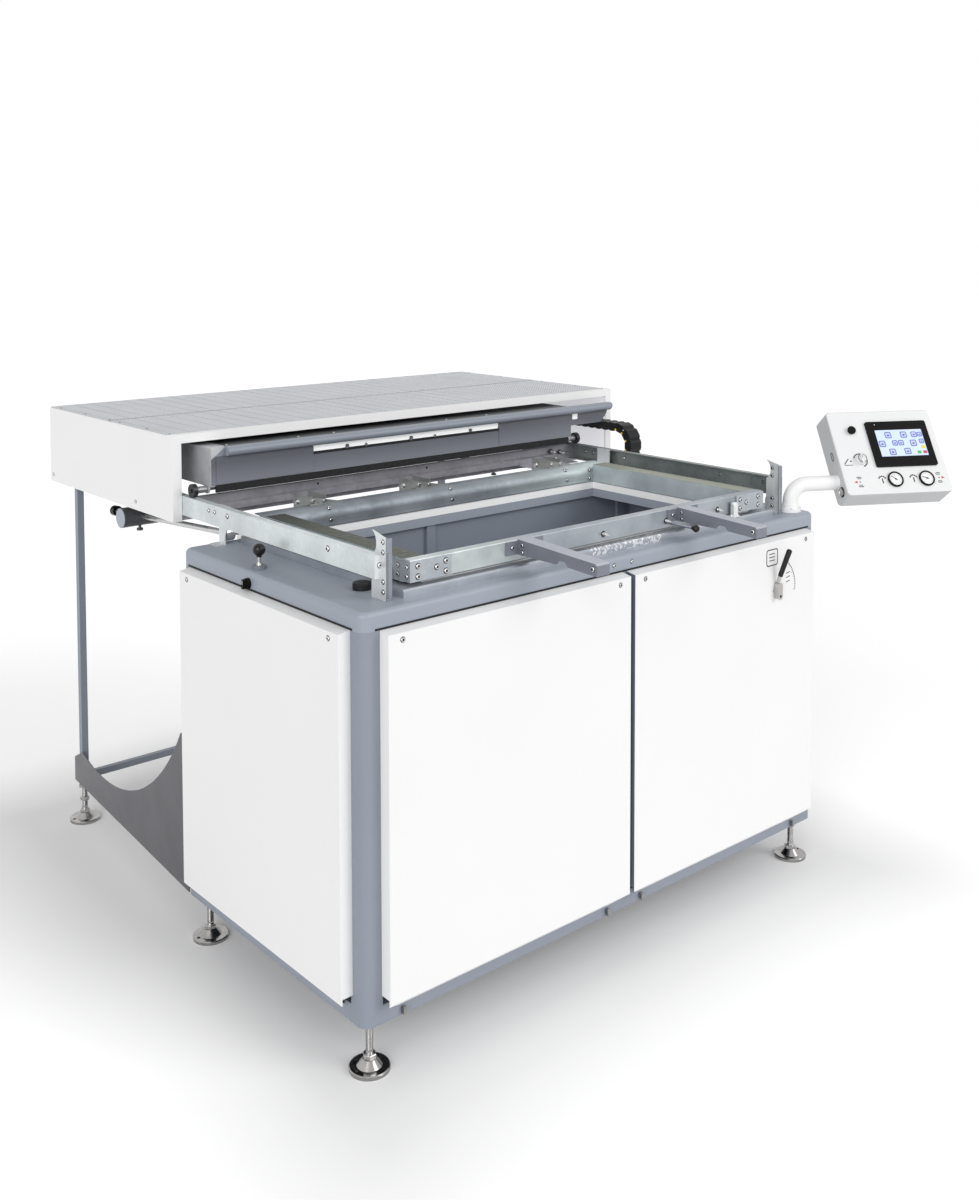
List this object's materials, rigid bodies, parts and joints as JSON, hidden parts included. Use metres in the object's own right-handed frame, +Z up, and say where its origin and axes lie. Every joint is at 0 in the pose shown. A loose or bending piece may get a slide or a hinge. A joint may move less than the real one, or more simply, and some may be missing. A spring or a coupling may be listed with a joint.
{
  "type": "vacuum forming machine",
  "caption": "Floor-standing sheet vacuum forming machine: cabinet with a forming well, hinged clamp frame, heater carriage rolling out of a rear hood, and a control box on an arm.",
  "frame": {"origin": "on the floor, in the middle of the four bolt holes of the cabinet's feet", "axes": "+Z up, +X to the operator's right along the cabinet's front, +Y to the rear, where the hood is"},
  "size_m": [2.0212, 1.9644, 1.2647],
  "materials": {
    "grey_paint": "satin",
    "zinc_steel": "zinc plated",
    "bright_steel": "ground",
    "galvanised": "spangled zinc",
    "white_paint": "satin",
    "grille_grey": "satin",
    "white_seal": "matt",
    "black_rubber": "matt",
    "dark_iron": "painted",
    "ceramic": "glazed",
    "chrome_plate": "polished",
    "bronze": "turned",
    "alloy": "milled",
    "black_plastic": "matt",
    "white_case": "satin"
  },
  "bodies": {
    "root": {"cabinet_frame": "grey_paint", "top_shell": "grey_paint", "well_liner": "grey_paint", "left_side_panel": "white_paint", "right_side_panel": "white_paint", "rear_panel": "white_paint", "left_front_panel": "white_paint", "right_front_panel": "white_paint", "panel_fixings": "zinc_steel", "foot_discs": "grey_paint", "foot_stems": "zinc_steel", "gusset_plates": "grey_paint", "rear_stand": "grey_paint", "left_rail": "galvanised", "right_rail": "galvanised", "rail_posts": "galvanised", "rail_cross_members": "galvanised", "seat_frame": "galvanised", "seat_gasket": "white_seal", "hinge_bearings": "zinc_steel", "guide_block": "zinc_steel", "deck_fittings": "black_rubber", "left_hood_panel": "white_paint", "right_hood_panel": "white_paint", "hood_rear_panel": "white_paint", "hood_front_frame": "white_paint", "hood_top": "grille_grey", "vacuum_pump": "dark_iron", "vacuum_pipes": "chrome_plate", "vacuum_valve": "chrome_plate", "lift_cylinder": "alloy", "guide_bushes": "bronze", "arm_flange": "white_paint"},
    "clamp_frame": {"clamp_front_bar": "galvanised", "clamp_rear_bar": "galvanised", "clamp_side_bars": "galvanised", "clamp_corner_plates": "galvanised", "lift_handles": "galvanised", "hinge_shaft": "bright_steel", "hinge_arms": "galvanised", "balance_rods": "bright_steel", "balance_weights": "dark_iron"},
    "heater": {"heater_casing": "galvanised", "heater_elements": "ceramic", "heater_fascia": "grille_grey", "heater_seal": "black_rubber"},
    "front_axle": {"front_wheels": "bright_steel"},
    "rear_axle": {"rear_wheels": "bright_steel"},
    "chain": {"cable_chain": "black_plastic"},
    "table": {"forming_table": "alloy", "table_rods": "bright_steel"},
    "ball_lever": {"ball_lever": "black_plastic"},
    "speed_knob": {"speed_knob": "black_plastic"},
    "vacuum_lever": {"vacuum_lever": "chrome_plate", "lever_grip": "black_plastic"},
    "arm": {"arm_tube": "white_paint"},
    "box": {"control_box": "white_case", "instruments": "black_plastic"},
    "button": {"push_button": "black_plastic"},
    "dial": {"program_dial": "black_plastic"}
  },
  "joints": [
    {"name": "clamp_hinge", "type": "hinge", "parent": "root", "child": "clamp_frame", "pos_m": [0, 0.365, 1.024], "axis": [-1, 0, 0], "range_deg": [0, 33]},
    {"name": "heater_slide", "type": "slide", "parent": "root", "child": "heater", "axis": [0, 1, 0], "range_m": [-0.77, 0]},
    {"name": "front_axle_turn", "type": "hinge", "parent": "heater", "child": "front_axle", "pos_m": [0, 0.492, 1.118], "axis": [1, 0, 0], "range_deg": [0, 2520]},
    {"name": "rear_axle_turn", "type": "hinge", "parent": "heater", "child": "rear_axle", "pos_m": [0, 1.13, 1.118], "axis": [1, 0, 0], "range_deg": [0, 2520]},
    {"name": "chain_follow", "type": "slide", "parent": "root", "child": "chain", "axis": [0, 1, 0], "range_m": [-0.385, 0]},
    {"name": "table_lift", "type": "slide", "parent": "root", "child": "table", "axis": [0, 0, 1], "range_m": [0, 0.33]},
    {"name": "ball_lever_tilt", "type": "hinge", "parent": "root", "child": "ball_lever", "pos_m": [-0.742, 0.08, 1.008], "axis": [0, 1, 0], "range_deg": [-20, 20]},
    {"name": "speed_knob_turn", "type": "hinge", "parent": "root", "child": "speed_knob", "pos_m": [-0.78, 0.064, 0.975], "axis": [-1, 0, 0], "range_deg": [0, 270]},
    {"name": "vacuum_lever_turn", "type": "hinge", "parent": "root", "child": "vacuum_lever", "pos_m": [0.563, -0.4, 0.819], "axis": [0, 1, 0], "range_deg": [0, 90]},
    {"name": "arm_swivel", "type": "hinge", "parent": "root", "child": "arm", "pos_m": [0.734, -0.338, 1.01], "axis": [0, 0, 1], "range_deg": [-45, 45]},
    {"name": "box_tilt", "type": "hinge", "parent": "arm", "child": "box", "pos_m": [0.734, -0.338, 1.075], "axis": [0.8746, -0.4848, 0], "range_deg": [-20, 20]},
    {"name": "button_press", "type": "slide", "parent": "box", "child": "button", "axis": [0.3971, 0.7164, -0.5736], "range_m": [0, 0.004], "stiffness_N_per_m": 300, "springref_m": -0.002},
    {"name": "dial_turn", "type": "hinge", "parent": "box", "child": "dial", "pos_m": [0.91259, -0.44897, 1.13849], "axis": [0.3971, 0.7164, -0.5736], "range_deg": [0, 270]}
  ],
  "couplings": [
    {"joint": "front_axle_turn", "follows": "heater_slide", "rad_per_m": -55.556},
    {"joint": "rear_axle_turn", "follows": "heater_slide", "rad_per_m": -55.556},
    {"joint": "chain_follow", "follows": "heater_slide", "ratio": 0.5}
  ]
}
